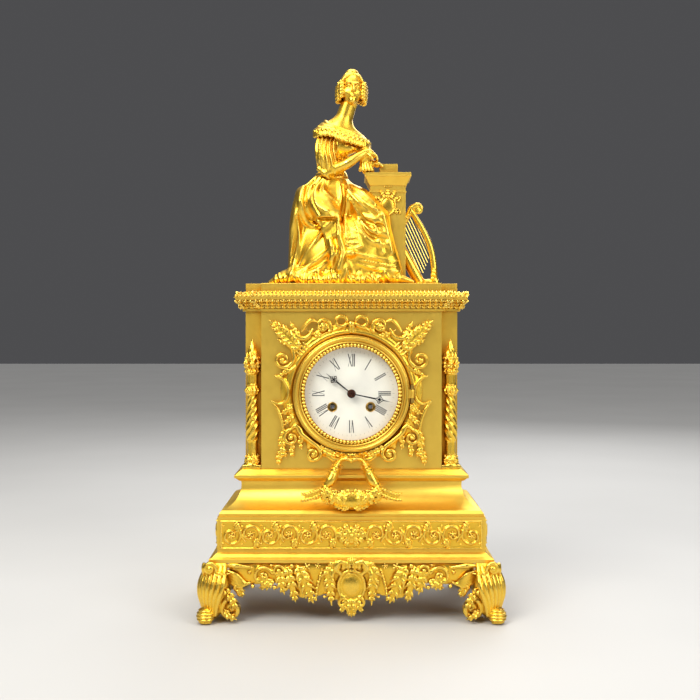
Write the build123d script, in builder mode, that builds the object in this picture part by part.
"""A gilt bronze mantel clock with a seated figure, a pedestal and a harp on its top.

The frame: +X to the viewer's right, +Y to the back, +Z up, the origin on the table under the
middle of the clock. Everything is in millimetres. The dial faces -Y.
"""

import os
from math import atan2, cos, degrees, hypot, pi, radians, sin

from build123d import *

os.makedirs("parts", exist_ok=True)

# ---------------------------------------------------------------- driving dimensions: the case
case_width = 200.0
case_depth = 82.0
case_height = 147.0
case_wall = 4.0
corner_notch_x = 16.0  # the corners step back, and a column stands in each front step
corner_notch_y = 14.0

foot_height = 54.0
base_spread = 22.0  # how far the frieze block stands out past the case
base_wall = 5.0
lower_moulding_height = 8.0
lower_moulding_spread = 7.0
frieze_block_height = 32.5
base_step_height = 5.0
base_step_inset = 3.5
cavetto_height = 25.0
cavetto_inset = 16.0
floor_height = 10.5
floor_spread = 8.4
cornice_height = 18.4
cornice_spread = 9.0
slab_height = 7.8

frieze_height = 26.0
frieze_margin = 3.0
frieze_relief = 2.4
frieze_sink = 1.0  # each frieze strip is let this far into its side
frieze_corner = 1.0

# ---------------------------------------------------------------- driving dimensions: the dial
dial_drop = 3.1  # the dial's centre stands this far under the middle of the case
dial_thickness = 1.5
movement_bore = 50.0  # radius of the round opening in the front and the back
ring_wall = 4.0  # between the bore and the dial's edge
bezel_lap = 4.0  # the bezel reaches this far past the bore
dial_border = 2.0  # the bezel hides this much of the dial's rim
bezel_depth = 8.0
glass_thickness = 1.2
fit_gap = 0.3  # between pieces that sit beside each other
turning_gap = 0.06  # round a shaft that turns in its hole

# ---------------------------------------------------------------- driving dimensions: the movement
plate_radius = 42.0
plate_thickness = 2.5
plate_clearance = 12.0  # room between the plates beside the barrels' length
plate_setback = 5.0  # from the case's front face to the movement's front plate
arbor_radius = 0.9
fine_arbor_radius = 0.42  # of the arbors with the smallest pinions
pivot_radius = 0.35
winding_hole_radius = 4.0
barrel_radius = 15.5
barrel_length = 18.0
wheel_thickness = 1.0

# teeth and modules; each pair is a wheel and the pinion that it turns
great_teeth, great_leaves, great_module = 80, 10, 0.42
second_teeth, second_leaves, second_module = 66, 10, 0.36
centre_teeth, centre_leaves, centre_module = 84, 7, 0.285
third_teeth, third_leaves, third_module = 75, 6, 0.26
strike_teeth, strike_leaves, strike_module = 70, 8, 0.30
pin_teeth, pin_leaves, pin_module = 60, 7, 0.28
cannon_teeth, minute_teeth, minute_module = 12, 36, 0.35
minute_leaves, hour_teeth, hour_module = 10, 40, 0.336
escape_teeth = 36
escape_radius = 8.6
pallet_gap = 0.6  # the pallets stand this far off the escape wheel's tips
anchor_rise = 12.2  # from the escape arbor up to the anchor's
pendulum_length = 110.0
bob_radius = 14.0
bob_thickness = 7.0

# ---------------------------------------------------------------- places worked out from these
half_x, half_y = case_width / 2, case_depth / 2
front_face, back_face = -half_y, half_y
block_x, block_y = half_x + base_spread, half_y + base_spread
block_z = foot_height + lower_moulding_height
step_z = block_z + frieze_block_height
cavetto_z = step_z + base_step_height
floor_z = cavetto_z + cavetto_height
case_z = floor_z + floor_height
cornice_z = case_z + case_height
slab_z = cornice_z + cornice_height
figure_z = slab_z + slab_height
frieze_mid_z = block_z + frieze_block_height / 2
panel_x = half_x - corner_notch_x
panel_y = half_y - corner_notch_y

front_plate_y = front_face + plate_setback + 3.5  # front of the front plate
plates_in_y = front_plate_y + plate_thickness
plates_out_y = plates_in_y + barrel_length + plate_clearance
dial_y = front_face + 0.5  # the dial's front
dial_height = case_z + case_height / 2 - dial_drop
dial_radius = movement_bore - ring_wall
bezel_radius, bezel_opening = movement_bore + bezel_lap, dial_radius - dial_border


def facing(y):
    """The plane at depth y that looks at the viewer, with +X right and +Z up."""
    return Plane.XZ.offset(-y)


def at_dial(u, w):
    """A place in the movement, u right of and w above the dial's centre."""
    return (u, dial_height + w)


def plan(grow, z):
    """The case's outline with its stepped corners, grown on every side, at height z."""
    px, py = panel_x + grow, panel_y + grow
    ox, oy = half_x + grow, half_y + grow
    corner = [(px, oy), (px, py), (ox, py)]
    points = []
    for sx, sy, order in ((1, 1, 1), (1, -1, -1), (-1, -1, 1), (-1, 1, -1)):
        points += [(sx * x, sy * y) for x, y in corner[::order]]
    with BuildSketch(Plane.XY.offset(z)) as drawn:
        with BuildLine():
            Polyline(*points, close=True)
        make_face()
    return drawn.sketch


# ================================================================ the base
def base_profile():
    """The section of a base side: how far it stands out past the case, against height."""
    lip, block = base_spread + lower_moulding_spread, base_spread
    shelf, neck = base_spread - base_step_inset, base_spread - base_step_inset - cavetto_inset
    with BuildSketch() as drawn:
        with BuildLine():
            Polyline(
                (block - base_wall, foot_height),
                (lip, foot_height),
                (lip, foot_height + 3),
                (lip - 3, foot_height + 4.5),
                (block + 1.5, block_z - 1),
                (block, block_z),
                (block, step_z),
                (block - 1.2, step_z),
                (block - 1.2, step_z + base_step_height / 2),
                (shelf, cavetto_z),
            )
            ThreePointArc(
                (shelf, cavetto_z),
                (neck + 0.22 * cavetto_inset, cavetto_z + 0.36 * cavetto_height),
                (neck, floor_z),
            )
            Line((neck, floor_z), (neck - base_wall, floor_z))
            ThreePointArc(
                (neck - base_wall, floor_z),
                (neck - base_wall + 0.22 * cavetto_inset, cavetto_z + 0.36 * cavetto_height),
                (shelf - base_wall, cavetto_z - 1),
            )
            Polyline(
                (shelf - base_wall, cavetto_z - 1),
                (block - base_wall, step_z - base_wall),
                (block - base_wall, foot_height),
            )
        make_face()
    return drawn.sketch


def frieze_strip(half_length, out):
    """A strip of the frieze, let into the front of a base side whose block stands at depth out."""
    with BuildPart() as strip:
        with Locations((0, frieze_sink - out - frieze_relief / 2, frieze_mid_z)):
            Box(2 * (half_length - frieze_margin), frieze_relief, frieze_height)
        fillet(strip.edges().filter_by(Axis.Y), frieze_corner)
    return strip.part


def base_side(turn, out, half_length, strip=None):
    """One mitred side of the base. It faces -Y before it is turned about Z."""
    section = Plane(origin=(0, -out, 0), x_dir=(0, -1, 0), z_dir=(-1, 0, 0))
    with BuildPart() as side:
        with BuildSketch(section):
            add(base_profile())
        extrude(amount=half_length + base_spread + lower_moulding_spread, both=True)
        for s in (1, -1):
            corner = (s * half_length, -out, 0)
            split(bisect_by=Plane(origin=corner, z_dir=(-s, -1, 0)), keep=Keep.TOP)
        if strip:
            add(strip, mode=Mode.SUBTRACT)
    return side.part.rotate(Axis.Z, turn)


front_strip = frieze_strip(block_x, block_y)
side_strip = frieze_strip(block_y, block_x)
base_front = base_side(0, half_y, half_x, front_strip)
base_back = base_side(180, half_y, half_x)
base_right = base_side(90, half_x, half_y, side_strip)
base_left = base_side(-90, half_x, half_y, side_strip)
right_strip = side_strip.rotate(Axis.Z, 90)
left_strip = side_strip.rotate(Axis.Z, -90)
frieze_panels = Compound(children=[front_strip, right_strip, left_strip])

foot_scroll_radius = 12.0
foot_scroll_width = 11.0
foot_ball_radius = 12.5
foot_reach = 5.0  # the ball's centre stands this far outside the frieze block's corner
foot_flat = 1.0  # the scrolls are filed flat by this much where they rest


def foot():
    """The front right foot: a corner block, a leg, a ball and two scrolls lying along the sides."""
    cx, cy = block_x + foot_reach - 3, -(block_y + foot_reach - 3)
    scroll_x, scroll_y = cx - foot_scroll_radius - 5, cy + foot_scroll_radius + 5
    low = foot_scroll_radius - foot_flat
    with BuildPart() as made:
        with BuildSketch(Plane.XY.offset(foot_height)):
            with Locations((block_x, -block_y)):
                Rectangle(15, 15)
        with BuildSketch(Plane.XY.offset(foot_ball_radius)):
            with Locations((cx, cy)):
                Rectangle(17, 17)
        loft()
        with Locations((cx, cy, foot_ball_radius - foot_flat)):
            Sphere(foot_ball_radius)
        with Locations((scroll_x, cy, low)):
            Cylinder(foot_scroll_radius, foot_scroll_width, rotation=(90, 0, 0))
        with Locations((cx, scroll_y, low)):
            Cylinder(foot_scroll_radius, foot_scroll_width, rotation=(0, 90, 0))
        with Locations((scroll_x + 6, cy, 15)):
            Box(16, foot_scroll_width, 14)
        with Locations((cx, scroll_y - 6, 15)):
            Box(foot_scroll_width, 16, 14)
        split(bisect_by=Plane.XY, keep=Keep.TOP)
    return made.part


foot_front_right = foot()
foot_front_left = foot_front_right.mirror(Plane.YZ)
foot_rear_right = foot_front_right.mirror(Plane.XZ)
foot_rear_left = foot_rear_right.mirror(Plane.YZ)

apron_thickness = 6.0
apron_gap = 5.0  # between the front apron's tip and the table
apron_end_drop = 26.0
apron_side_drop, apron_side_tip = 22.0, 40.0
lobe_share = 0.22  # how deep each scallop is against its width
foot_room = 15.0  # from the frieze block's end to the apron's


def apron(half_length, out, side_drop, tip_drop, turn=0):
    """A scalloped apron under a base side, between two feet, with a pointed tip in its middle."""
    lobe, tip = 0.63 * half_length, 0.21 * half_length
    low = foot_height - side_drop
    with BuildPart() as made:
        with BuildSketch(facing(-out)):
            with BuildLine():
                Polyline((0, foot_height), (half_length, foot_height), (half_length, low))
                ThreePointArc(
                    (half_length, low),
                    ((half_length + lobe) / 2, low - lobe_share * (half_length - lobe)),
                    (lobe, low),
                )
                ThreePointArc(
                    (lobe, low), ((lobe + tip) / 2, low - 2.5 - lobe_share * (lobe - tip)), (tip, low - 5)
                )
                Line((tip, low - 5), (0, foot_height - tip_drop))
                Line((0, foot_height - tip_drop), (0, foot_height))
            make_face()
            mirror(about=Plane.YZ)
        extrude(amount=apron_thickness)
    return made.part.rotate(Axis.Z, turn)


def fitted(piece, *others):
    """A piece with the places cut away where it is notched round others. Its largest solid is kept."""
    with BuildPart() as made:
        add(piece)
        for other in others:
            add(other, mode=Mode.SUBTRACT)
    return made.solids().sort_by(SortBy.VOLUME)[-1]


feet = (foot_front_left, foot_front_right, foot_rear_left, foot_rear_right)
apron_front = fitted(apron(block_x - foot_room, block_y, apron_end_drop, foot_height - apron_gap), *feet)
side_apron = apron(block_y - foot_room, block_x, apron_side_drop, apron_side_tip, 90)
apron_right = fitted(side_apron, *feet)
apron_left = apron_right.mirror(Plane.YZ)
apron_sides = Compound(children=[apron_left, apron_right])

# ================================================================ the case
pendulum_slot_x, pendulum_slot_y = 100.0, 50.0
tie_rod_radius = 2.0
tie_rod_x, tie_rod_y = panel_x - 12.0, half_y - 11.0
tie_nut_radius, tie_nut_height = 4.0, 5.0

with BuildPart() as case_floor:
    for z0, z1, grow0, grow1 in (
        (floor_z, floor_z + 3.0, floor_spread - 4.4, floor_spread - 1.0),
        (floor_z + 3.0, floor_z + 6.0, floor_spread, floor_spread),
        (floor_z + 6.0, case_z, floor_spread - 0.8, 2.0),
    ):
        for z, grow in ((z0, grow0), (z1, grow1)):
            with BuildSketch(Plane.XY.offset(z)):
                Rectangle(2 * (half_x + grow), 2 * (half_y + grow))
        loft()
    with BuildSketch(Plane.XY.offset(floor_z)):
        Rectangle(pendulum_slot_x, pendulum_slot_y)
        with GridLocations(2 * tie_rod_x, 2 * tie_rod_y, 2, 2):
            Circle(tie_rod_radius + fit_gap)
    extrude(amount=floor_height, mode=Mode.SUBTRACT)

with BuildPart() as case_front:
    with BuildSketch(facing(front_face + case_wall)):
        with Locations((0, case_z + case_height / 2)):
            Rectangle(2 * panel_x, case_height)
        with Locations(at_dial(0, 0)):
            Circle(movement_bore, mode=Mode.SUBTRACT)
    extrude(amount=case_wall)

with BuildPart() as case_back:
    with BuildSketch(facing(back_face)):
        with Locations((0, case_z + case_height / 2)):
            Rectangle(2 * panel_x, case_height)
        with Locations(at_dial(0, 0)):
            Circle(movement_bore, mode=Mode.SUBTRACT)
    extrude(amount=case_wall)

with BuildPart() as case_right:
    with BuildSketch(Plane.XY.offset(case_z)):
        with BuildLine():
            Polyline(
                (panel_x - case_wall, -half_y + case_wall),
                (panel_x, -half_y + case_wall),
                (panel_x, -panel_y),
                (half_x, -panel_y),
                (half_x, panel_y),
                (panel_x, panel_y),
                (panel_x, half_y - case_wall),
                (panel_x - case_wall, half_y - case_wall),
                (panel_x - case_wall, panel_y - case_wall),
                (half_x - case_wall, panel_y - case_wall),
                (half_x - case_wall, case_wall - panel_y),
                (panel_x - case_wall, case_wall - panel_y),
                close=True,
            )
        make_face()
    extrude(amount=case_height)
case_left = case_right.part.mirror(Plane.YZ)

with BuildPart() as cornice:
    for z0, z1, grow0, grow1 in (
        (cornice_z, cornice_z + 2.6, 2.6, 2.6),
        (cornice_z + 2.6, cornice_z + 10.6, 1.4, cornice_spread - 1.4),
        (cornice_z + 10.6, cornice_z + 15.4, cornice_spread, cornice_spread),
        (cornice_z + 15.4, slab_z, cornice_spread - 1.0, 2.0),
    ):
        for z, grow in ((z0, grow0), (z1, grow1)):
            with BuildSketch(Plane.XY.offset(z)):
                add(plan(grow, 0))
        loft()
    with BuildSketch(Plane.XY.offset(cornice_z)):
        add(plan(-case_wall, 0))
    extrude(amount=cornice_height, mode=Mode.SUBTRACT)

with BuildPart() as top_slab:
    with BuildSketch(Plane.XY.offset(slab_z)):
        add(plan(0, 0))
    extrude(amount=slab_height)
    with BuildSketch(Plane.XY.offset(slab_z)):
        add(plan(-case_wall, 0))
    extrude(amount=slab_height - case_wall, mode=Mode.SUBTRACT)

with BuildPart() as tie_rods:
    rod_bottom = floor_z - tie_nut_height - 4
    rod_length = figure_z - case_wall - rod_bottom
    with Locations((0, 0, rod_bottom)):
        with GridLocations(2 * tie_rod_x, 2 * tie_rod_y, 2, 2):
            Cylinder(tie_rod_radius, rod_length, align=(Align.CENTER, Align.CENTER, Align.MIN))
with BuildPart() as tie_nuts:
    with BuildSketch(Plane.XY.offset(floor_z - tie_nut_height)):
        with GridLocations(2 * tie_rod_x, 2 * tie_rod_y, 2, 2):
            RegularPolygon(tie_nut_radius, 6)
            Circle(tie_rod_radius, mode=Mode.SUBTRACT)
    extrude(amount=tie_nut_height)
tie_rods = Compound(children=tie_rods.solids() + tie_nuts.solids())

# ================================================================ the columns in the front corners
column_x, column_y = half_x - 7.0, front_face + 6.5
column_height = case_height - 27.5
column_base_half, column_base_height = 9.0, 4.0

with BuildPart() as torch_column_right:
    with Locations((column_x, column_y, case_z + column_base_height / 2)):
        Box(2 * column_base_half, 2 * column_base_half - 4, column_base_height)
    with BuildSketch(Plane(origin=(column_x, column_y, case_z), x_dir=(1, 0, 0), z_dir=(0, -1, 0))):
        with BuildLine():
            Polyline(
                (0, column_base_height),
                (6.6, column_base_height),
                (6.4, 7),
                (5.0, 24),
                (5.8, 26),
                (4.8, 28),
            )
            Polyline(
                (4.8, 28),
                (6.0, 38),
                (4.2, 70),
                (7.0, 73),
                (7.0, 75),
                (5.8, 76),
                (6.4, 84),
                (5.6, 88),
                (7.0, 93),
                (7.2, 100),
                (5.0, 110),
                (1.0, column_height),
                (0, column_height),
                (0, column_base_height),
            )
        make_face()
    revolve(axis=Axis((column_x, column_y, 0), (0, 0, 1)))
torch_column_left = torch_column_right.part.mirror(Plane.YZ)

# ================================================================ the ornament on the front
surround_thickness = 5.0
surround_half_x = 78.0
surround_top, surround_bottom = cornice_z - 6.1, case_z + 2.0
surround_gap = 0.8  # between the surround and the bezel
surround_web = 3.5  # metal left above the bezel, at the top arc's lowest

with BuildPart() as dial_surround:
    with BuildSketch(facing(front_face)):
        with BuildLine():
            Line((0, surround_bottom), (0, surround_top))
            ThreePointArc(
                (0, surround_top),
                (0.5 * surround_half_x, dial_height + bezel_radius + surround_web),
                (surround_half_x, surround_top - 3),
            )
            ThreePointArc(
                (surround_half_x, surround_top - 3),
                (0.80 * surround_half_x, dial_height + 34),
                (0.94 * surround_half_x, dial_height - 6),
            )
            ThreePointArc(
                (0.94 * surround_half_x, dial_height - 6),
                (0.76 * surround_half_x, dial_height - 36),
                (0.88 * surround_half_x, surround_bottom),
            )
            Line((0.88 * surround_half_x, surround_bottom), (0, surround_bottom))
        make_face()
        mirror(about=Plane.YZ)
        with Locations(at_dial(0, 0)):
            Circle(bezel_radius + surround_gap, mode=Mode.SUBTRACT)
    extrude(amount=surround_thickness)

garland_half_x, garland_thickness = 42.0, 14.0
garland_ends_z, garland_low_z, garland_dip_z = cavetto_z + 14.0, cavetto_z + 2.0, floor_z - 3.0
horn_x, horn_rx, horn_rz, horn_thickness = 19.0, 6.0, 12.0, 12.0
garland_y = -(half_y + floor_spread + 1.0)  # the depth of its back where it hangs clear
with BuildPart() as garland_swag:
    with BuildSketch(facing(garland_y)):
        with BuildLine():
            ThreePointArc(
                (-garland_half_x, garland_ends_z), (0, garland_low_z), (garland_half_x, garland_ends_z)
            )
            Line((garland_half_x, garland_ends_z), (horn_x, floor_z + 2))
            ThreePointArc((horn_x, floor_z + 2), (0, garland_dip_z), (-horn_x, floor_z + 2))
            Line((-horn_x, floor_z + 2), (-garland_half_x, garland_ends_z))
        make_face()
    extrude(amount=garland_thickness)
    with BuildSketch(facing(garland_y)):
        for s in (1, -1):
            with Locations((s * horn_x, case_z - 2)):
                Ellipse(horn_rx, horn_rz)
    extrude(amount=horn_thickness)
garland = fitted(garland_swag.part, base_front, case_floor.part)

# ================================================================ the figure, the pedestal, the harp
dress_sections = (  # height above the slab, middle x, half width, half depth
    (0, -13, 65, 34),
    (8, -16, 55, 33),
    (28, -12, 47, 31),
    (52, -8, 47, 30),
    (74, -12, 43, 29),
    (92, -17, 33, 23),
    (106, -21, 20, 15),
    (116, -20, 13, 11),
)
bust_sections = ((116, -20, 13, 11), (136, -14, 22, 15), (151, -13, 21, 13), (163, -9, 11, 9), (176, -2, 5, 6))
casting_wall = 5.0  # the dress is cast hollow, open under its hem
head_x, head_radius, head_height = -2.0, 13.0, 188.0
bun_radius, bun_rise = 10.0, 13.0


def oval_loft(sections, inset=0.0):
    """A solid through ovals, one for each height."""
    with BuildPart() as made:
        for z, x, rx, ry in sections:
            with BuildSketch(Plane.XY.offset(figure_z + z)):
                with Locations((x, 0)):
                    Ellipse(rx - inset, ry - inset)
        loft()
    return made.part


dress_hollow = oval_loft(dress_sections[:-1], casting_wall)
figure_dress = fitted(oval_loft(dress_sections), dress_hollow)
figure_bust = oval_loft(bust_sections)
with BuildPart() as arms:
    for start, end, thick in (((-27, -10, 144), (-14, -17, 117), 6), ((-14, -17, 120), (26, -8, 122), 5)):
        first = Vector(start[0], start[1], figure_z + start[2])
        last = Vector(end[0], end[1], figure_z + end[2])
        with BuildSketch(Plane(origin=first, z_dir=last - first)):
            Circle(thick)
        extrude(amount=(last - first).length)
with BuildPart() as bust_and_arms:
    add(figure_bust)
    add(arms.part)
figure_bust = fitted(bust_and_arms.part, figure_dress)
with BuildPart() as head_and_bun:
    with Locations((head_x, 0, figure_z + head_height)):
        Sphere(head_radius)
    with Locations((head_x, 0, figure_z + head_height + bun_rise)):
        Sphere(bun_radius)
figure_head = fitted(head_and_bun.part, figure_bust)

pedestal_x, pedestal_half, pedestal_height = 35.0, 17.0, 107.0
pedestal_cap_half, pedestal_cap_height = 22.0, 12.0
pedestal_y = 5.0
with BuildPart() as pedestal:
    for z0, z1, a, b in (
        (0, 6, pedestal_half + 2, pedestal_half + 2),
        (6, pedestal_height - pedestal_cap_height, pedestal_half, pedestal_half),
        (pedestal_height - pedestal_cap_height, pedestal_height - 3, pedestal_half + 0.5, pedestal_cap_half),
        (pedestal_height - 3, pedestal_height, pedestal_cap_half, pedestal_cap_half),
    ):
        for z, half in ((z0, a), (z1, b)):
            with BuildSketch(Plane.XY.offset(figure_z + z)):
                with Locations((pedestal_x, pedestal_y)):
                    Rectangle(2 * half, 2 * half)
        loft()
pedestal_block = fitted(pedestal.part, figure_dress, figure_bust)

book_width, book_depth, book_thickness = 17.0, 24.0, 9.0
with BuildPart() as book:
    with Locations((pedestal_x + 1, pedestal_y - 3, figure_z + pedestal_height + book_thickness / 2)):
        Box(book_width, book_depth, book_thickness)
book = fitted(book.part, figure_bust)
pedestal_and_book = Compound(children=[pedestal_block, book])

harp_y, harp_thickness = 8.0, 7.0
harp_shoulder, harp_foot = (54.5, 62.0), (76.0, 0.0)
harp_head, harp_belly = (66.0, 84.0), (82.0, 30.0)
string_radius, string_count = 0.5, 6
string_start = 0.25  # the share of the soundboard above the shortest string


def harp_point(place):
    """A place on the harp, x and height above the slab, in the facing plane."""
    return (place[0], figure_z + place[1])


def flat_link(places, width):
    """A flat bar through places on the harp, with round ends."""
    with BuildSketch() as drawn:
        for a, b in zip(places[:-1], places[1:]):
            ax, az = harp_point(a)
            bx, bz = harp_point(b)
            turn = degrees(atan2(bz - az, bx - ax))
            with Locations(Location(((ax + bx) / 2, (az + bz) / 2), turn)):
                SlotCenterToCenter(hypot(bx - ax, bz - az), width)
    return drawn.sketch


with BuildPart() as harp:
    with BuildSketch(facing(harp_y)):
        add(flat_link([harp_shoulder, (60, 70), harp_head], 5.0))
        add(flat_link([harp_head, (75, 58), harp_belly, (82, 3)], 5.0))
        add(flat_link([harp_shoulder, (73.5, 4.5)], 9.0))
        with Locations(harp_point((78, 3))):
            Rectangle(15, 6)
    extrude(amount=harp_thickness)
with BuildPart() as strings:
    for i in range(string_count):
        share = string_start + (1 - string_start) * (i + 0.5) / string_count
        low = Vector(58 + 17 * share, harp_y - harp_thickness / 2, figure_z + 52 - 41 * share)
        high = Vector(56 + 10 * share, harp_y - harp_thickness / 2, figure_z + 62 + 19 * share)
        along = Plane(origin=low, z_dir=high - low)
        with BuildSketch(along):
            Circle(string_radius)
        extrude(amount=(high - low).length)
    add(harp.part, mode=Mode.SUBTRACT)
    add(pedestal_block, mode=Mode.SUBTRACT)
harp_frame = fitted(harp.part, pedestal_block, figure_dress)
harp = Compound(children=[harp_frame] + strings.solids())

# ================================================================ the round ways through the case
ring_radius = movement_bore - 0.1
ring_lip = 1.8  # how far each ring's flange reaches over the case, past its bore
ring_flange = 0.6
dial_seat = 1.5  # the dial's rim rests on the front ring by this much
plate_lap = 2.0  # the front ring laps over the movement's front plate by this much
plate_clip = 1.5
strap_width, strap_thickness = 8.0, 2.4
inner_back = back_face - case_wall


def disc(radius, y0, y1, place=(0, 0), mode=Mode.ADD):
    """Adds a disc or a shaft along Y to the part being built, from depth y0 back to y1."""
    with BuildSketch(facing(y1)) as drawn:
        with Locations(at_dial(*place)):
            Circle(radius)
    extrude(drawn.sketch, amount=y1 - y0, mode=mode)


def bore(radius, y0, y1, place=(0, 0)):
    """Cuts a round hole along Y in the part being built, from depth y0 back to y1."""
    disc(radius, y0, y1, place, Mode.SUBTRACT)


with BuildPart() as front_ring:
    disc(movement_bore + ring_lip, front_face - ring_flange, front_face)
    disc(ring_radius, front_face, front_plate_y)
    bore(dial_radius + fit_gap, front_face - ring_flange, dial_y + dial_thickness)
    bore(dial_radius - dial_seat, dial_y + dial_thickness, front_plate_y - plate_clip)
    bore(plate_radius - plate_lap, front_plate_y - plate_clip, front_plate_y)

with BuildPart() as rear_ring:
    disc(movement_bore + ring_lip - fit_gap, back_face, back_face + ring_flange)
    disc(ring_radius, inner_back, back_face)
    bore(dial_radius - dial_seat, inner_back, back_face + ring_flange)

with BuildPart() as movement_straps:
    strap_x = (ring_radius + plate_radius) / 2 + 0.6
    for s in (1, -1):
        with Locations((s * strap_x, (front_plate_y + inner_back) / 2, dial_height)):
            Box(strap_thickness, inner_back - front_plate_y, strap_width)

# ================================================================ the bezel, its glass and the rear door
hinge_pin_radius = 0.7
knuckle_radius, knuckle_height = 1.5, 8.0
tab_thickness = 2.0
hinge_block, hinge_block_height = 3.2, 4.0
glass_radius = bezel_opening + 1.5
glass_setback = 1.0
bezel_front, bezel_back = front_face - bezel_depth, front_face - ring_flange - fit_gap
front_hinge = (bezel_radius + 2.5, front_face - surround_thickness - hinge_block / 2)
rear_hinge = (-(movement_bore + 4.0), back_face + hinge_block / 2)
door_radius, door_thickness = movement_bore - 1.0, 1.8
door_front = back_face + ring_flange + fit_gap


def knuckle(hinge, inner_x, y0, y1, radius):
    """Adds to the part being built a hinge's moving knuckle and the tab that joins it at inner_x."""
    x, y = hinge
    with Locations(((x + inner_x) / 2, (y0 + y1) / 2, dial_height)):
        Box(abs(x - inner_x), y1 - y0, knuckle_height)
    with Locations((x, y, dial_height)):
        Cylinder(radius, knuckle_height)
        Cylinder(hinge_pin_radius + turning_gap, knuckle_height, mode=Mode.SUBTRACT)


with BuildPart() as bezel:
    with BuildSketch(Plane(origin=(0, 0, dial_height), x_dir=(1, 0, 0), z_dir=(0, 0, 1))):
        with BuildLine():
            Polyline(
                (bezel_opening, bezel_back),
                (bezel_opening, bezel_front + 4.5),
                (bezel_opening - 0.8, bezel_front + 3.5),
                (bezel_opening - 0.8, bezel_front + 1.5),
                (bezel_opening + 1.2, bezel_front + 0.6),
                (bezel_opening + 4.0, bezel_front + 2.4),
            )
            ThreePointArc(
                (bezel_opening + 4.0, bezel_front + 2.4),
                (bezel_opening + 6.5, bezel_front),
                (bezel_radius - 1.0, bezel_front + 2.4),
            )
            Polyline(
                (bezel_radius - 1.0, bezel_front + 2.4),
                (bezel_radius, bezel_front + 3.4),
                (bezel_radius, bezel_back),
                (bezel_opening, bezel_back),
            )
        make_face()
    revolve(axis=Axis((0, 0, dial_height), (0, 1, 0)))
    tab_back = front_hinge[1] + tab_thickness / 2
    knuckle(front_hinge, bezel_radius - 3.0, tab_back - tab_thickness, tab_back, knuckle_radius)
    bore(glass_radius, bezel_front + glass_setback, bezel_front + glass_setback + glass_thickness)

with BuildPart() as bezel_glass:
    disc(glass_radius, bezel_front + glass_setback, bezel_front + glass_setback + glass_thickness)

with BuildPart() as rear_door:
    disc(door_radius, door_front, door_front + door_thickness)
    disc(door_radius - 6.0, door_front + door_thickness, door_front + door_thickness + 0.8)
    knuckle(rear_hinge, -door_radius + 3.0, door_front, door_front + door_thickness, knuckle_radius - 0.1)

hinge_parts = []
for x, y in (front_hinge, rear_hinge):
    with BuildPart() as hinge_fixed:
        block_rise = (knuckle_height + hinge_block_height) / 2 + fit_gap
        for s in (1, -1):
            with Locations((x, y, dial_height + s * block_rise)):
                Box(hinge_block, hinge_block, hinge_block_height)
        with Locations((x, y, dial_height)):
            Cylinder(hinge_pin_radius, knuckle_height + 2 * fit_gap)
    hinge_parts += hinge_fixed.solids()
hinge_pins = Compound(children=hinge_parts)

# ================================================================ where the arbors stand
great_mesh = (great_teeth + great_leaves) * great_module / 2
second_mesh = (second_teeth + second_leaves) * second_module / 2
centre_mesh = (centre_teeth + centre_leaves) * centre_module / 2
third_mesh = (third_teeth + third_leaves) * third_module / 2
strike_mesh = (strike_teeth + strike_leaves) * strike_module / 2
pin_mesh = (pin_teeth + pin_leaves) * pin_module / 2
motion_mesh = (cannon_teeth + minute_teeth) * minute_module / 2


def reach(place, distance, bearing):
    """The place at a distance from another, at a bearing in degrees from +X towards up."""
    return (place[0] + distance * cos(radians(bearing)), place[1] + distance * sin(radians(bearing)))


def meeting(place, far, reach_place, reach_far):
    """The place that is reach_place from one place and reach_far from another, on the right side."""
    gap = hypot(far[0] - place[0], far[1] - place[1])
    along = (reach_place**2 - reach_far**2 + gap**2) / (2 * gap)
    across = (reach_place**2 - along**2) ** 0.5
    ux, uw = (far[0] - place[0]) / gap, (far[1] - place[1]) / gap
    return (place[0] + along * ux + across * uw, place[1] + along * uw - across * ux)


great_wheel_gap = 1.16  # between the two great wheels' tips
winding_x = (great_teeth / 2 + 1) * great_module + great_wheel_gap / 2
winding_drop = 12.6
third_bearing, strike_second_bearing, pin_bearing, fly_bearing = 115, 115, 75, 50
centre = (0, 0)
going_barrel_at = (winding_x, -winding_drop)
strike_barrel_at = (-winding_x, -winding_drop)
intermediate_at = meeting(going_barrel_at, centre, great_mesh, second_mesh)
third_at = reach(centre, centre_mesh, third_bearing)
escape_at = (0, third_at[1] + (third_mesh**2 - third_at[0] ** 2) ** 0.5)
anchor_at = (0, escape_at[1] + anchor_rise)
strike_second_at = reach(strike_barrel_at, great_mesh, strike_second_bearing)
pin_at = reach(strike_second_at, strike_mesh, pin_bearing)
fly_at = reach(pin_at, pin_mesh, fly_bearing)
minute_wheel_at = (0, motion_mesh)
hammer_at = (-37.0, -8.0)

# depths of the wheels between the plates, from the front plate's back face
second_y = plates_in_y + 0.8
drum_y = plates_in_y + 3.0
great_y = drum_y + barrel_length
centre_y = plates_out_y - 5.5
third_y = plates_out_y - 3.2
escape_y = plates_in_y + 12.0
end_shake = 0.2
pinion_overlap = 0.7  # a pinion is longer than its wheel by this much each way


def bearing(place, other):
    """The direction from one place to another, in radians from +X towards up."""
    return atan2(other[1] - place[1], other[0] - place[0])


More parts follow.
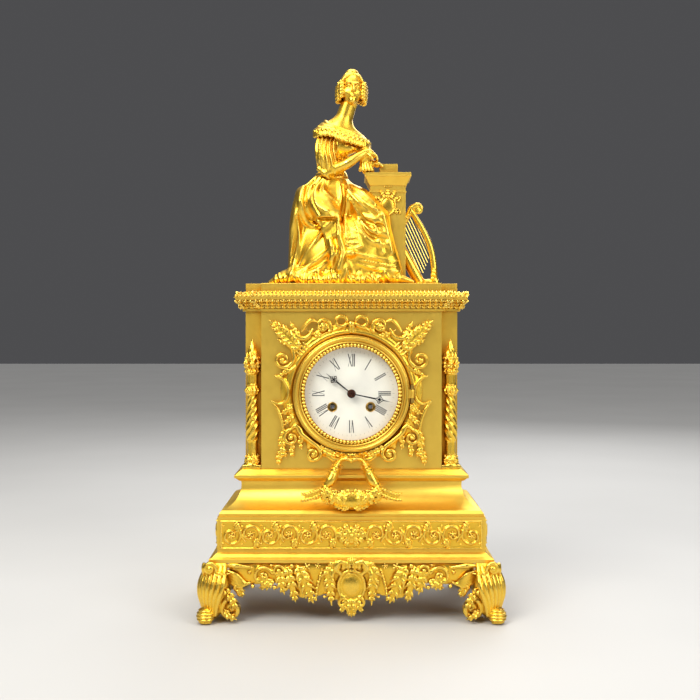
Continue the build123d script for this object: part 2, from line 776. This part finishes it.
def gear(place, count, module, turn, y0, y1, leaves=False, crossed=False):
    """Adds to the part being built a wheel, or a pinion with slimmer leaves, with a tooth at turn."""
    pitch, pitch_radius = 2 * pi / count, count * module / 2
    if leaves:
        half_tooth, root = 0.38 * pitch / 2, max(pitch_radius - 1.35 * module, 0.42 * pitch_radius)
        flank = ((root, 1.0), (pitch_radius, 1.0), (pitch_radius + 0.35 * module, 0.55))
    else:
        half_tooth, root = 0.40 * pitch / 2, pitch_radius - 1.25 * module
        tip = pitch_radius + module
        flank = ((root, 1.0), (pitch_radius, 1.0), (tip - 0.45 * module, 0.78), (tip, 0.30))
    u, w = at_dial(*place)
    points = []
    for i in range(count):
        for side, rising in ((-1, flank), (1, flank[::-1])):
            for radius, share in rising:
                angle = turn + i * pitch + side * share * half_tooth
                points.append((u + radius * cos(angle), w + radius * sin(angle)))
    rim = root - 1.3
    with BuildSketch(facing(y1)) as drawn:
        with BuildLine():
            Polyline(*points, close=True)
        make_face()
        if crossed:
            with Locations((u, w)):
                Circle(rim, mode=Mode.SUBTRACT)
                Circle(hub_radius)
                for i in range(crossing_bars):
                    Rectangle(2 * rim + 1.0, crossing_width, rotation=180 * i / crossing_bars)
    extrude(drawn.sketch, amount=y1 - y0)


hub_radius, crossing_width, crossing_bars = 2.0, 1.3, 2


def staff(place, radius=arbor_radius, front_pivot=True):
    """Adds to the part being built an arbor between the plates, with its pivots in the plates."""
    disc(radius, plates_in_y + end_shake, plates_out_y - end_shake, place)
    disc(pivot_radius, plates_out_y - end_shake, plates_out_y + plate_thickness, place)
    if front_pivot:
        disc(pivot_radius, front_plate_y, plates_in_y + end_shake, place)


def wheel_at(y):
    """The front and the back of a wheel at depth y."""
    return y, y + wheel_thickness


def pinion_at(y):
    """The front and the back of the pinion that a wheel at depth y turns."""
    return y - pinion_overlap, y + wheel_thickness + pinion_overlap


# ================================================================ the two plates
winding_radius = 2.2
winding_square = 3.0
pillar_radius, pillar_ring = 2.3, 38.0
pillar_bearings = (25, 155, -62, -118)
small_pivots = (intermediate_at, third_at, escape_at, strike_second_at, pin_at, fly_at)
centre_arbor_radius = 1.0
hammer_arbor_radius = 1.2
anchor_arbor_radius = 0.9
back_plate_y = plates_out_y + plate_thickness  # the back plate's back face
minute_post_radius = 0.8

with BuildPart() as movement_front_plate:
    disc(plate_radius, front_plate_y, plates_in_y)
    for place in small_pivots + (anchor_at, hammer_at):
        bore(pivot_radius + turning_gap, front_plate_y, plates_in_y, place)
    for place in (going_barrel_at, strike_barrel_at):
        bore(winding_radius + turning_gap, front_plate_y, plates_in_y, place)
    bore(centre_arbor_radius + turning_gap, front_plate_y, plates_in_y)
    disc(minute_post_radius, dial_y + dial_thickness + 0.6, front_plate_y, minute_wheel_at)

with BuildPart() as movement_back_plate:
    disc(plate_radius, plates_out_y, back_plate_y)
    for turn in pillar_bearings:
        disc(pillar_radius, plates_in_y, plates_out_y, reach(centre, pillar_ring, turn))
    for place in small_pivots + (centre,):
        bore(pivot_radius + turning_gap, plates_out_y, back_plate_y, place)
    for place in (going_barrel_at, strike_barrel_at):
        bore(winding_radius + turning_gap, plates_out_y, back_plate_y, place)
    bore(anchor_arbor_radius + 4 * turning_gap, plates_out_y, back_plate_y, anchor_at)
    bore(hammer_arbor_radius + turning_gap, plates_out_y, back_plate_y, hammer_at)

dial_hole, dial_foot_radius, dial_foot_ring = 3.5, 1.0, 36.0
with BuildPart() as dial:
    disc(dial_radius, dial_y, dial_y + dial_thickness)
    for turn in (60, 180, 300):
        disc(dial_foot_radius, dial_y + dial_thickness, front_plate_y, reach(centre, dial_foot_ring, turn))
    bore(dial_hole, dial_y, dial_y + dial_thickness)
    for place in (going_barrel_at, strike_barrel_at):
        bore(winding_hole_radius, dial_y, dial_y + dial_thickness, place)

# ================================================================ the going train
hour_hand_lift, minute_hand_lift = 2.4, 2.0  # from the dial to the first hand, and on to the second
hour_hand_y = dial_y - hour_hand_lift
minute_hand_y = hour_hand_y - minute_hand_lift
hand_thickness = 0.6
cannon_bore, cannon_radius = centre_arbor_radius, 1.8
hour_bore, hour_pipe_radius = cannon_radius + turning_gap, 2.6
motion_y = front_plate_y - 1.9  # the minute wheel's front
hour_wheel_y = motion_y - 2.4
centre_tip_y = minute_hand_y - hand_thickness - 0.2

with BuildPart() as intermediate_wheel:
    staff(intermediate_at)
    gear(
        intermediate_at,
        great_leaves,
        great_module,
        bearing(intermediate_at, going_barrel_at) + pi / great_leaves,
        *pinion_at(great_y),
        leaves=True,
    )
    turn = bearing(intermediate_at, centre)
    gear(intermediate_at, second_teeth, second_module, turn, *wheel_at(second_y), crossed=True)

with BuildPart() as centre_arbor:
    staff(centre, front_pivot=False)
    disc(centre_arbor_radius, centre_tip_y, plates_in_y + end_shake)
    turn = bearing(centre, intermediate_at) + pi / second_leaves
    gear(centre, second_leaves, second_module, turn, *pinion_at(second_y), leaves=True)
    gear(centre, centre_teeth, centre_module, bearing(centre, third_at), *wheel_at(centre_y), crossed=True)

with BuildPart() as cannon:
    turn = bearing(centre, minute_wheel_at) + pi / cannon_teeth
    gear(centre, cannon_teeth, minute_module, turn, motion_y - 0.6, front_plate_y - 0.5, leaves=True)
    disc(cannon_radius, minute_hand_y, motion_y - 0.6)
    bore(cannon_bore, minute_hand_y, front_plate_y)
centre_wheel = Compound(children=[centre_arbor.solid(), cannon.solid()])

with BuildPart() as third_wheel:
    staff(third_at, fine_arbor_radius)
    turn = bearing(third_at, centre) + pi / centre_leaves
    gear(third_at, centre_leaves, centre_module, turn, *pinion_at(centre_y), leaves=True)
    turn = bearing(third_at, escape_at)
    gear(third_at, third_teeth, third_module, turn, *wheel_at(third_y), crossed=True)

with BuildPart() as escape_wheel:
    staff(escape_at, fine_arbor_radius)
    turn = bearing(escape_at, third_at) + pi / third_leaves
    gear(escape_at, third_leaves, third_module, turn, *pinion_at(third_y), leaves=True)
    u, w = at_dial(*escape_at)
    escape_pitch, escape_root = 2 * pi / escape_teeth, escape_radius - 1.6
    points = []
    for i in range(escape_teeth):
        for radius, share in ((escape_root, 0.05), (escape_root, 0.45), (escape_radius, 0.92), (escape_radius, 0.98)):
            angle = (i + share) * escape_pitch
            points.append((u + radius * cos(angle), w + radius * sin(angle)))
    with BuildSketch(facing(escape_y + wheel_thickness)):
        with BuildLine():
            Polyline(*points, close=True)
        make_face()
        with Locations((u, w)):
            Circle(escape_root - 1.0, mode=Mode.SUBTRACT)
            Circle(hub_radius)
            Rectangle(2 * escape_root - 1.0, 1.0)
            Rectangle(1.0, 2 * escape_root - 1.0)
    extrude(amount=wheel_thickness)

with BuildPart() as minute_wheel:
    turn = bearing(minute_wheel_at, centre)
    pinion_turn = turn + pi / minute_leaves
    gear(minute_wheel_at, minute_teeth, minute_module, turn, motion_y, motion_y + wheel_thickness, crossed=True)
    gear(minute_wheel_at, minute_leaves, hour_module, pinion_turn, hour_wheel_y - 0.5, motion_y, leaves=True)
    bore(minute_post_radius + turning_gap, hour_wheel_y - 0.5, motion_y + wheel_thickness, minute_wheel_at)

with BuildPart() as hour_wheel:
    turn = bearing(centre, minute_wheel_at)
    gear(centre, hour_teeth, hour_module, turn, hour_wheel_y, hour_wheel_y + wheel_thickness)
    disc(hour_pipe_radius, hour_hand_y, hour_wheel_y)
    bore(hour_bore, hour_hand_y, hour_wheel_y + wheel_thickness)

# ================================================================ the barrels and their winding arbors
drum_wall = 1.0
drum_cap_gap = 0.5
great_thickness = 1.5


def barrel(place, mesh_place):
    """A spring barrel: a hollow drum with its great wheel as the rear cap."""
    with BuildPart() as made:
        disc(barrel_radius, drum_y, great_y, place)
        turn = bearing(place, mesh_place)
        gear(place, great_teeth, great_module, turn, great_y, great_y + great_thickness)
        bore(barrel_radius - drum_wall, drum_y + drum_wall, great_y - drum_cap_gap, place)
        bore(winding_radius + turning_gap, drum_y, great_y + great_thickness, place)
    return made.part


def winding_arbor(place):
    """A winding arbor: its round part lies in the barrel and the plates, its square in the dial's hole."""
    with BuildPart() as made:
        disc(winding_radius, front_plate_y, back_plate_y, place)
        disc(winding_radius + 1.6, drum_y + drum_wall + 0.6, great_y - drum_cap_gap - 0.6, place)
        with BuildSketch(facing(front_plate_y)) as square:
            with Locations(at_dial(*place)):
                Rectangle(winding_square, winding_square)
        extrude(square.sketch, amount=front_plate_y - dial_y + 1.0)
    return made.part


going_barrel = barrel(going_barrel_at, intermediate_at)
strike_barrel = barrel(strike_barrel_at, strike_second_at)
going_winding_arbor = winding_arbor(going_barrel_at)
strike_winding_arbor = winding_arbor(strike_barrel_at)

# ================================================================ the strike train
lifting_pins, pin_ring, lifting_pin_radius, lifting_pin_length = 10, 6.5, 0.4, 1.7
fly_radius, fly_length = 5.0, 10.0

with BuildPart() as strike_second_wheel:
    staff(strike_second_at)
    turn = bearing(strike_second_at, strike_barrel_at) + pi / great_leaves
    gear(strike_second_at, great_leaves, great_module, turn, *pinion_at(great_y), leaves=True)
    turn = bearing(strike_second_at, pin_at)
    gear(strike_second_at, strike_teeth, strike_module, turn, *wheel_at(second_y), crossed=True)

with BuildPart() as pin_wheel:
    staff(pin_at)
    turn = bearing(pin_at, strike_second_at) + pi / strike_leaves
    gear(pin_at, strike_leaves, strike_module, turn, *pinion_at(second_y), leaves=True)
    gear(pin_at, pin_teeth, pin_module, bearing(pin_at, fly_at), *wheel_at(centre_y))
    for i in range(lifting_pins):
        pin_place = reach(pin_at, pin_ring, 360 * i / lifting_pins)
        disc(lifting_pin_radius, centre_y - lifting_pin_length, centre_y, pin_place)

with BuildPart() as fly:
    staff(fly_at, fine_arbor_radius)
    turn = bearing(fly_at, pin_at) + pi / pin_leaves
    gear(fly_at, pin_leaves, pin_module, turn, *pinion_at(centre_y), leaves=True)
    u, w = at_dial(*fly_at)
    with Locations((u, escape_y, w)):
        Box(2 * fly_radius, fly_length, 0.5)

# ================================================================ the bell and the hammer
bell_radius, bell_depth, bell_wall = 28.0, 18.0, 1.6
bell_mouth_y = back_plate_y + 14.0
stand_at, stand_arm = (18.0, -30.0), 2.0
stand_radius, bell_stud_radius = 2.0, 1.5

with BuildPart() as bell:
    with BuildSketch(Plane(origin=(0, 0, dial_height), x_dir=(1, 0, 0), z_dir=(0, 0, 1))):
        with BuildLine():
            Line((bell_stud_radius + fit_gap, bell_mouth_y + bell_depth), (10, bell_mouth_y + bell_depth))
            ThreePointArc(
                (10, bell_mouth_y + bell_depth),
                (0.83 * bell_radius, bell_mouth_y + 0.62 * bell_depth),
                (bell_radius, bell_mouth_y),
            )
            Line((bell_radius, bell_mouth_y), (bell_radius - bell_wall, bell_mouth_y))
            ThreePointArc(
                (bell_radius - bell_wall, bell_mouth_y),
                (0.83 * bell_radius - bell_wall, bell_mouth_y + 0.62 * bell_depth - 0.6 * bell_wall),
                (9, bell_mouth_y + bell_depth - bell_wall),
            )
            Polyline(
                (9, bell_mouth_y + bell_depth - bell_wall),
                (bell_stud_radius + fit_gap, bell_mouth_y + bell_depth - bell_wall),
                (bell_stud_radius + fit_gap, bell_mouth_y + bell_depth),
            )
        make_face()
    revolve(axis=Axis((0, 0, dial_height), (0, 1, 0)))

with BuildPart() as bell_stand:
    arm_y = bell_mouth_y - stand_arm - 0.5
    disc(stand_radius, back_plate_y, arm_y + stand_arm, stand_at)
    disc(stand_radius + 1, arm_y, arm_y + stand_arm, centre)
    with BuildSketch(facing(arm_y + stand_arm)) as arm:
        u, w = at_dial(*stand_at)
        with Locations(Location((u / 2, (w + dial_height) / 2), degrees(bearing(centre, stand_at)))):
            Rectangle(hypot(*stand_at), 3.0)
    extrude(arm.sketch, amount=stand_arm)
    stud_end = bell_mouth_y + bell_depth
    disc(stand_radius + 1, arm_y + stand_arm, stud_end - bell_wall)
    disc(bell_stud_radius, stud_end - bell_wall, stud_end + 0.2)
    disc(stand_radius + 1, stud_end, stud_end + 1.6)

hammer_head_radius, hammer_head_length, hammer_head_gap = 3.0, 5.0, 0.8
hammer_head_at = reach(centre, bell_radius + hammer_head_radius + hammer_head_gap, 165)
hammer_tail_to = (-30.0, 10.5)


def bar(start, end, width, y0, y1):
    """Adds to the part being built a flat bar with round ends from one place to another."""
    middle = ((start[0] + end[0]) / 2, (start[1] + end[1]) / 2)
    turn = degrees(bearing(start, end))
    with BuildSketch(facing(y1)) as drawn:
        with Locations(Location(at_dial(*middle), turn)):
            SlotCenterToCenter(hypot(end[0] - start[0], end[1] - start[1]), width)
    extrude(drawn.sketch, amount=y1 - y0)


with BuildPart() as hammer:
    stem_y = bell_mouth_y + 0.5
    disc(hammer_arbor_radius, plates_in_y + end_shake, stem_y + 1.5, hammer_at)
    disc(pivot_radius, front_plate_y, plates_in_y + end_shake, hammer_at)
    bar(hammer_at, hammer_tail_to, 1.6, centre_y - lifting_pin_length, centre_y - 0.7)
    bar(hammer_at, hammer_head_at, 2.0, stem_y, stem_y + 1.5)
    disc(hammer_head_radius, stem_y - 1, stem_y - 1 + hammer_head_length, hammer_head_at)

# ================================================================ the escapement's anchor and the pendulum
cock_y, cock_thickness = back_plate_y + 4.0, 1.5
cock_half_x, cock_foot, cock_half_z = 12.0, 3.0, 4.0
rod_width, rod_thickness = 1.6, 1.2
rod_y = cock_y + cock_thickness + 0.6
crutch_y, crutch_drop, crutch_gap = back_plate_y + 1.2, 20.0, 0.3
eye_radius = 2.2
pendulum_pin_radius = 0.8
anchor_z = dial_height + anchor_at[1]
bob_z = anchor_z - pendulum_length
bob_y = rod_y + rod_thickness / 2

with BuildPart() as suspension_cock:
    for s in (1, -1):
        foot_x = s * (cock_half_x - cock_foot / 2)
        with Locations((foot_x, (back_plate_y + cock_y) / 2, anchor_z)):
            Box(cock_foot, cock_y - back_plate_y, 2 * cock_half_z)
    with Locations((0, cock_y + cock_thickness / 2, anchor_z)):
        Box(2 * cock_half_x, cock_thickness, 2 * cock_half_z)
    bore(pivot_radius + turning_gap, cock_y, cock_y + 1.0, anchor_at)
    disc(pendulum_pin_radius, cock_y + cock_thickness, rod_y + rod_thickness + 0.5, anchor_at)
    disc(eye_radius - 0.6, rod_y + rod_thickness + 0.5, rod_y + rod_thickness + 1.1, anchor_at)

with BuildPart() as pendulum_rod:
    rod_length = pendulum_length + bob_radius + 4.0
    with Locations((0, rod_y + rod_thickness / 2, anchor_z - rod_length / 2)):
        Box(rod_width, rod_thickness, rod_length)
    disc(eye_radius, rod_y, rod_y + rod_thickness, anchor_at)
    bore(pendulum_pin_radius + turning_gap, rod_y, rod_y + rod_thickness, anchor_at)
    with Locations((0, bob_y, anchor_z - rod_length + 1.5)):
        Box(6.0, 4.0, 3.0)

with BuildPart() as pendulum_bob:
    bob_at = (0, bob_z - dial_height)
    disc(bob_radius, bob_y - bob_thickness / 2, bob_y + bob_thickness / 2, bob_at)
    chamfer(pendulum_bob.edges().filter_by(GeomType.CIRCLE), 2.4)
    add(pendulum_rod.part, mode=Mode.SUBTRACT)

with BuildPart() as anchor:
    disc(anchor_arbor_radius, plates_in_y + end_shake, cock_y, anchor_at)
    disc(pivot_radius, front_plate_y, plates_in_y + end_shake, anchor_at)
    disc(pivot_radius, cock_y, cock_y + 0.8, anchor_at)
    u, w = at_dial(*escape_at)
    inner = escape_radius + pallet_gap
    with BuildSketch(facing(escape_y + wheel_thickness)):
        with Locations((u, w)):
            Circle(inner + 1.6)
            Circle(inner, mode=Mode.SUBTRACT)
        with Locations((u, w + inner * 0.62 - 20)):
            Rectangle(4 * inner, 40, mode=Mode.SUBTRACT)
        with Locations((u, w + (inner + anchor_rise) / 2)):
            Rectangle(1.8, anchor_rise - inner + 0.6)
        with Locations((u, w + anchor_rise)):
            Circle(1.8)
    extrude(amount=wheel_thickness)
    bar(anchor_at, (0, anchor_at[1] - crutch_drop), 1.4, crutch_y, crutch_y + 1.0)
    fork_half = rod_width / 2 + crutch_gap
    fork_z = anchor_z - crutch_drop
    for s in (1, -1):
        with Locations((s * (fork_half + 0.4), (crutch_y + rod_y + rod_thickness) / 2, fork_z)):
            Box(0.8, rod_y + rod_thickness - crutch_y, 1.0)
    with Locations((0, crutch_y + 0.5, fork_z)):
        Box(2 * fork_half + 1.6, 1.0, 1.0)

# ================================================================ the hands
hand_hub_radius = 3.4
minute_hand_length, hour_hand_length = 39.0, 30.9
minute_hand_turn, hour_hand_turn = 102.0, 308.5  # clockwise from twelve
quatrefoil_reach = 4.6


def hand(length, turn, y, hub, hole):
    """A pierced hand with a quatrefoil below its tip, turned clockwise from twelve."""
    cross = 0.68 * length
    with BuildPart() as made:
        with BuildSketch(facing(y)) as drawn:
            Polygon((-0.45, 0), (0.45, 0), (0.75, cross), (0, length), (-0.75, cross), align=None)
            for du, dw in ((0, 1), (0, -1), (1, 0), (-1, 0)):
                with Locations((du * quatrefoil_reach / 2, cross + dw * quatrefoil_reach / 2)):
                    Rectangle(2.6, 2.6, rotation=45)
                    Rectangle(1.2, 1.2, rotation=45, mode=Mode.SUBTRACT)
            Circle(hub)
        extrude(drawn.sketch, amount=hand_thickness)
    turned = made.part.rotate(Axis.Y, turn)
    with BuildPart() as placed:
        add(turned.moved(Location((0, 0, dial_height))))
        if hole:
            bore(hole, y - hand_thickness, y)
    return placed.part


hour_hand = hand(hour_hand_length, hour_hand_turn, hour_hand_y, hand_hub_radius, cannon_radius + turning_gap)
minute_hand_blade = hand(minute_hand_length, minute_hand_turn, minute_hand_y, hand_hub_radius, 0)
with BuildPart() as minute_hand:
    add(minute_hand_blade)
    disc(hand_hub_radius + 0.6, centre_tip_y - 0.5, minute_hand_y - hand_thickness)
    bore(centre_arbor_radius, centre_tip_y, minute_hand_y)

# ================================================================ the finished pieces
pieces = {
    "foot_front_left": foot_front_left,
    "foot_front_right": foot_front_right,
    "foot_rear_left": foot_rear_left,
    "foot_rear_right": foot_rear_right,
    "apron_front": apron_front,
    "apron_sides": apron_sides,
    "base_front": base_front,
    "base_back": base_back,
    "base_left": base_left,
    "base_right": base_right,
    "frieze_panels": frieze_panels,
    "case_floor": case_floor.part,
    "case_front": case_front.part,
    "case_back": case_back.part,
    "case_left": case_left,
    "case_right": case_right.part,
    "cornice": cornice.part,
    "top_slab": top_slab.part,
    "tie_rods": tie_rods,
    "torch_column_left": torch_column_left,
    "torch_column_right": torch_column_right.part,
    "dial_surround": dial_surround.part,
    "garland": garland,
    "figure_dress": figure_dress,
    "figure_bust": figure_bust,
    "figure_head": figure_head,
    "pedestal": pedestal_and_book,
    "harp": harp,
    "front_ring": front_ring.part,
    "rear_ring": rear_ring.part,
    "movement_straps": movement_straps.part,
    "bezel": bezel.part,
    "bezel_glass": bezel_glass.part,
    "rear_door": rear_door.part,
    "hinge_pins": hinge_pins,
    "movement_front_plate": movement_front_plate.part,
    "movement_back_plate": movement_back_plate.part,
    "dial": dial.part,
    "intermediate_wheel": intermediate_wheel.part,
    "centre_wheel": centre_wheel,
    "third_wheel": third_wheel.part,
    "escape_wheel": escape_wheel.part,
    "minute_wheel": minute_wheel.part,
    "hour_wheel": hour_wheel.part,
    "going_barrel": going_barrel,
    "strike_barrel": strike_barrel,
    "going_winding_arbor": going_winding_arbor,
    "strike_winding_arbor": strike_winding_arbor,
    "strike_second_wheel": strike_second_wheel.part,
    "pin_wheel": pin_wheel.part,
    "fly": fly.part,
    "bell": bell.part,
    "bell_stand": bell_stand.part,
    "hammer": hammer.part,
    "suspension_cock": suspension_cock.part,
    "pendulum_rod": pendulum_rod.part,
    "pendulum_bob": pendulum_bob.part,
    "anchor": anchor.part,
    "hour_hand": hour_hand,
    "minute_hand": minute_hand.part,
}
for name, piece in pieces.items():
    piece.label = name
    export_step(piece, f"parts/{name}.step")
